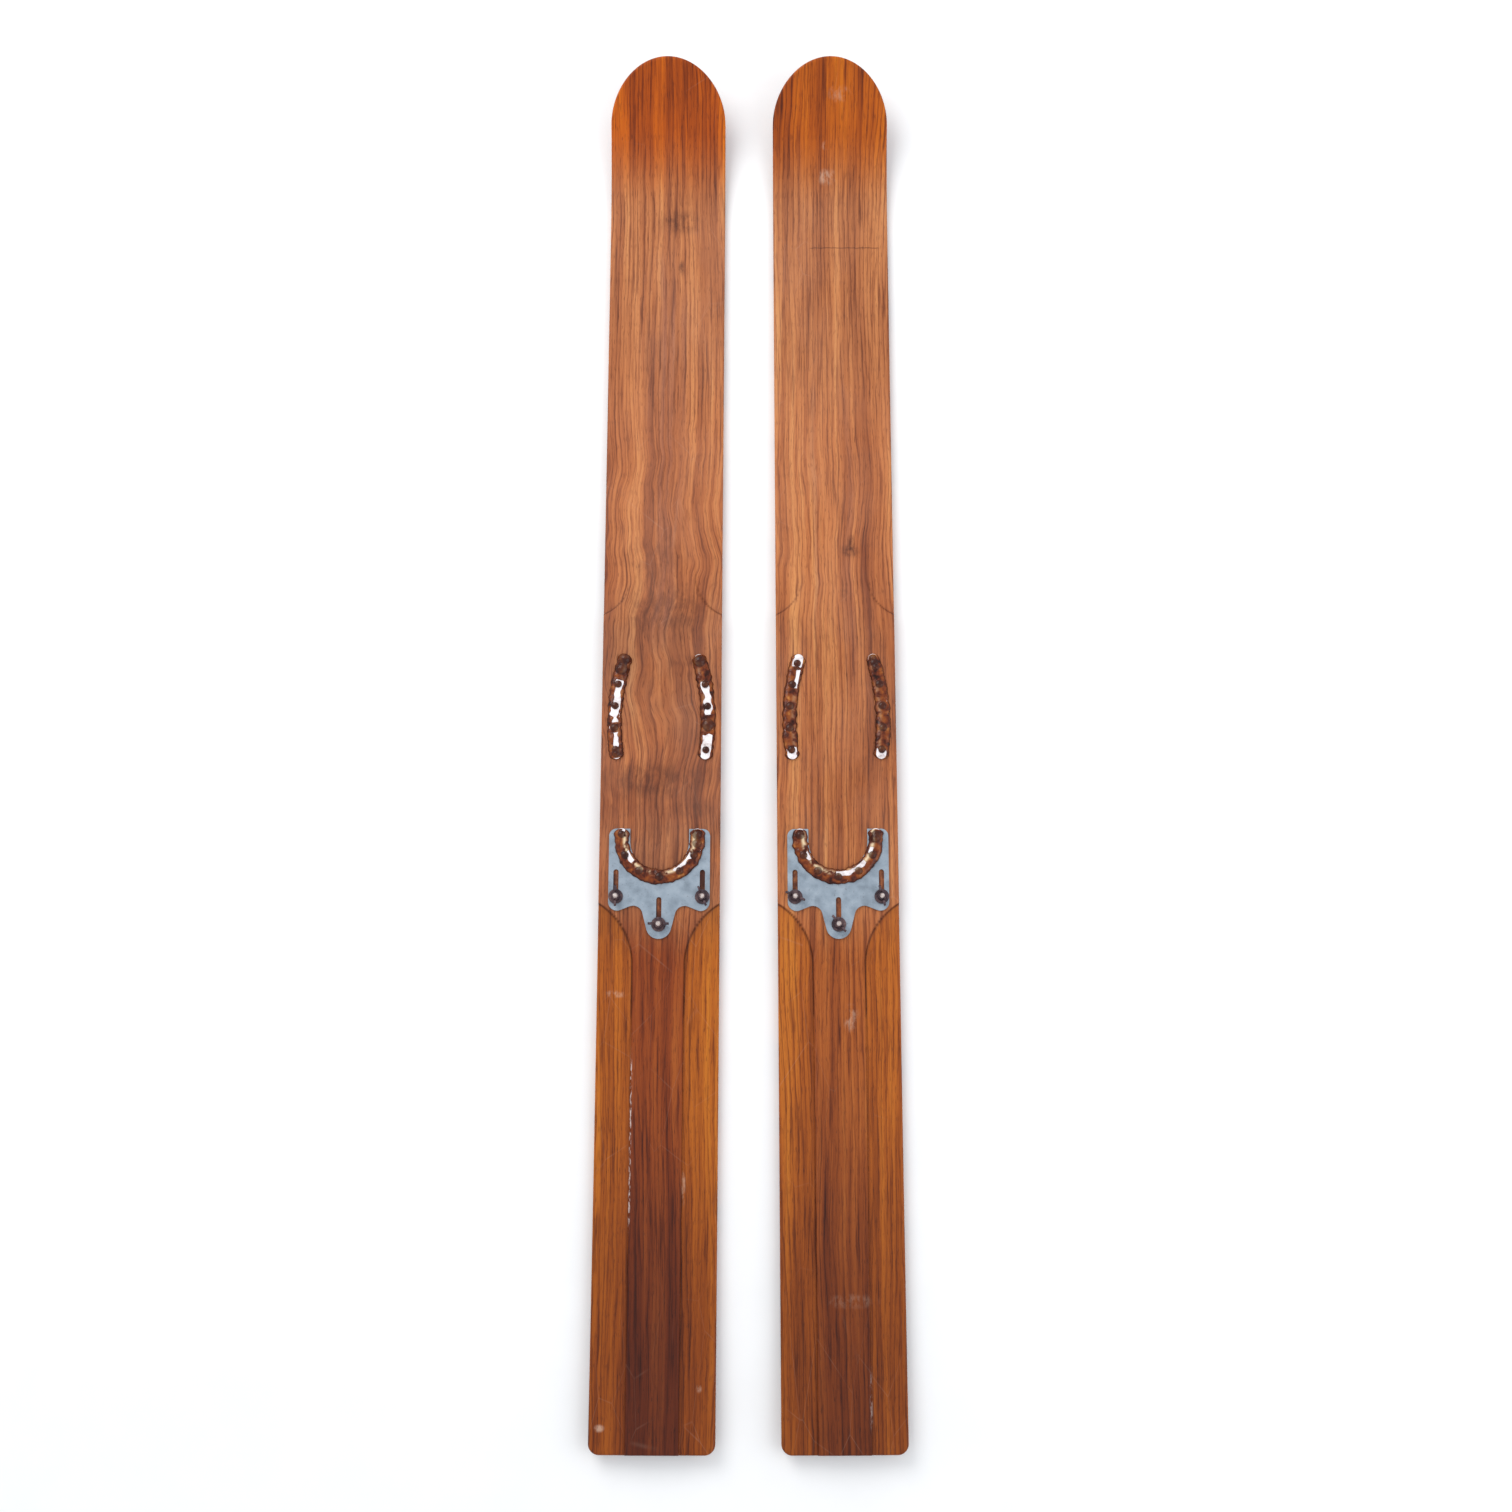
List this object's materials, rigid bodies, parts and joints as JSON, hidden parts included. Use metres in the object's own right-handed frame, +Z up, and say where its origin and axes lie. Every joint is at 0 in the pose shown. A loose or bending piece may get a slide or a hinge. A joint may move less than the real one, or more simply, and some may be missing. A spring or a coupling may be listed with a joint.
{
  "type": "water ski pair",
  "caption": "Pair of long wooden water skis with upturned tips, a raised central rib, curved toe strips and adjustable heel plates held by wing nuts.",
  "frame": {"origin": "centre of the pair on the floor plane, where the flat bases of both skis rest", "axes": "+Y along the skis toward the tips, +Z up out of the tops, +X to the wearer's right"},
  "size_m": [0.3776, 1.7512, 0.0825],
  "materials": {
    "varnished_wood": "worn varnish over teak-like wood",
    "strip_metal": "bright strip with stains",
    "perished_rubber": "glossy, sticky and cracked amber to black",
    "rusty_steel": "dark rust",
    "galvanised_sheet": "blue-grey galvanised",
    "brass": "tarnished"
  },
  "bodies": {
    "left_ski": {"left_board": "varnished_wood", "left_keel": "varnished_wood", "left_keel_screws": "brass", "left_toe_strip_inner": "strip_metal", "left_toe_strip_outer": "strip_metal", "left_toe_rubber_inner": "perished_rubber", "left_toe_rubber_outer": "perished_rubber", "left_toe_screws_inner": "rusty_steel", "left_toe_screws_outer": "rusty_steel", "left_studs": "rusty_steel"},
    "right_ski": {"right_board": "varnished_wood", "right_keel": "varnished_wood", "right_keel_screws": "brass", "right_toe_strip_inner": "strip_metal", "right_toe_strip_outer": "strip_metal", "right_toe_rubber_inner": "perished_rubber", "right_toe_rubber_outer": "perished_rubber", "right_toe_screws_inner": "rusty_steel", "right_toe_screws_outer": "rusty_steel", "right_studs": "rusty_steel"},
    "left_heel": {"left_heel_plate": "galvanised_sheet", "left_heel_rubber": "perished_rubber", "left_heel_strip": "strip_metal", "left_heel_rivets": "rusty_steel"},
    "left_outer_washer": {"left_washer_outer": "rusty_steel"},
    "left_outer_nut": {"left_wing_nut_outer": "rusty_steel"},
    "left_inner_washer": {"left_washer_inner": "rusty_steel"},
    "left_inner_nut": {"left_wing_nut_inner": "rusty_steel"},
    "left_rear_washer": {"left_washer_rear": "rusty_steel"},
    "left_rear_nut": {"left_wing_nut_rear": "rusty_steel"},
    "right_heel": {"right_heel_plate": "galvanised_sheet", "right_heel_rubber": "perished_rubber", "right_heel_strip": "strip_metal", "right_heel_rivets": "rusty_steel"},
    "right_outer_washer": {"right_washer_outer": "rusty_steel"},
    "right_outer_nut": {"right_wing_nut_outer": "rusty_steel"},
    "right_inner_washer": {"right_washer_inner": "rusty_steel"},
    "right_inner_nut": {"right_wing_nut_inner": "rusty_steel"},
    "right_rear_washer": {"right_washer_rear": "rusty_steel"},
    "right_rear_nut": {"right_wing_nut_rear": "rusty_steel"}
  },
  "joints": [
    {"name": "ski_spread", "type": "slide", "parent": "left_ski", "child": "right_ski", "axis": [1, 0, 0], "range_m": [-0.055, 0.3]},
    {"name": "left_heel_adjust", "type": "slide", "parent": "left_ski", "child": "left_heel", "axis": [-0.0047, -1, 0], "range_m": [0, 0.03]},
    {"name": "left_outer_washer_lift", "type": "slide", "parent": "left_ski", "child": "left_outer_washer", "axis": [0, 0, 1], "range_m": [0, 0.0061]},
    {"name": "left_outer_nut_turn", "type": "hinge", "parent": "left_outer_washer", "child": "left_outer_nut", "pos_m": [-0.16417, -0.2151, 0.0203], "axis": [0, 0, 1], "range_deg": [0, 2160]},
    {"name": "left_inner_washer_lift", "type": "slide", "parent": "left_ski", "child": "left_inner_washer", "axis": [0, 0, 1], "range_m": [0, 0.0061]},
    {"name": "left_inner_nut_turn", "type": "hinge", "parent": "left_inner_washer", "child": "left_inner_nut", "pos_m": [-0.05737, -0.2156, 0.0203], "axis": [0, 0, 1], "range_deg": [0, 2160]},
    {"name": "left_rear_washer_lift", "type": "slide", "parent": "left_ski", "child": "left_rear_washer", "axis": [0, 0, 1], "range_m": [0, 0.0061]},
    {"name": "left_rear_nut_turn", "type": "hinge", "parent": "left_rear_washer", "child": "left_rear_nut", "pos_m": [-0.11093, -0.24965, 0.0203], "axis": [0, 0, 1], "range_deg": [0, 2160]},
    {"name": "right_heel_adjust", "type": "slide", "parent": "right_ski", "child": "right_heel", "axis": [0.0047, -1, 0], "range_m": [0, 0.03]},
    {"name": "right_outer_washer_lift", "type": "slide", "parent": "right_ski", "child": "right_outer_washer", "axis": [0, 0, 1], "range_m": [0, 0.0061]},
    {"name": "right_outer_nut_turn", "type": "hinge", "parent": "right_outer_washer", "child": "right_outer_nut", "pos_m": [0.16417, -0.2151, 0.0203], "axis": [0, 0, 1], "range_deg": [0, 2160]},
    {"name": "right_inner_washer_lift", "type": "slide", "parent": "right_ski", "child": "right_inner_washer", "axis": [0, 0, 1], "range_m": [0, 0.0061]},
    {"name": "right_inner_nut_turn", "type": "hinge", "parent": "right_inner_washer", "child": "right_inner_nut", "pos_m": [0.05737, -0.2156, 0.0203], "axis": [0, 0, 1], "range_deg": [0, 2160]},
    {"name": "right_rear_washer_lift", "type": "slide", "parent": "right_ski", "child": "right_rear_washer", "axis": [0, 0, 1], "range_m": [0, 0.0061]},
    {"name": "right_rear_nut_turn", "type": "hinge", "parent": "right_rear_washer", "child": "right_rear_nut", "pos_m": [0.11093, -0.24965, 0.0203], "axis": [0, 0, 1], "range_deg": [0, 2160]}
  ],
  "couplings": [
    {"joint": "left_outer_washer_lift", "follows": "left_outer_nut_turn", "m_per_rad": 0.00015915},
    {"joint": "left_inner_washer_lift", "follows": "left_inner_nut_turn", "m_per_rad": 0.00015915},
    {"joint": "left_rear_washer_lift", "follows": "left_rear_nut_turn", "m_per_rad": 0.00015915},
    {"joint": "right_outer_washer_lift", "follows": "right_outer_nut_turn", "m_per_rad": 0.00015915},
    {"joint": "right_inner_washer_lift", "follows": "right_inner_nut_turn", "m_per_rad": 0.00015915},
    {"joint": "right_rear_washer_lift", "follows": "right_rear_nut_turn", "m_per_rad": 0.00015915}
  ]
}
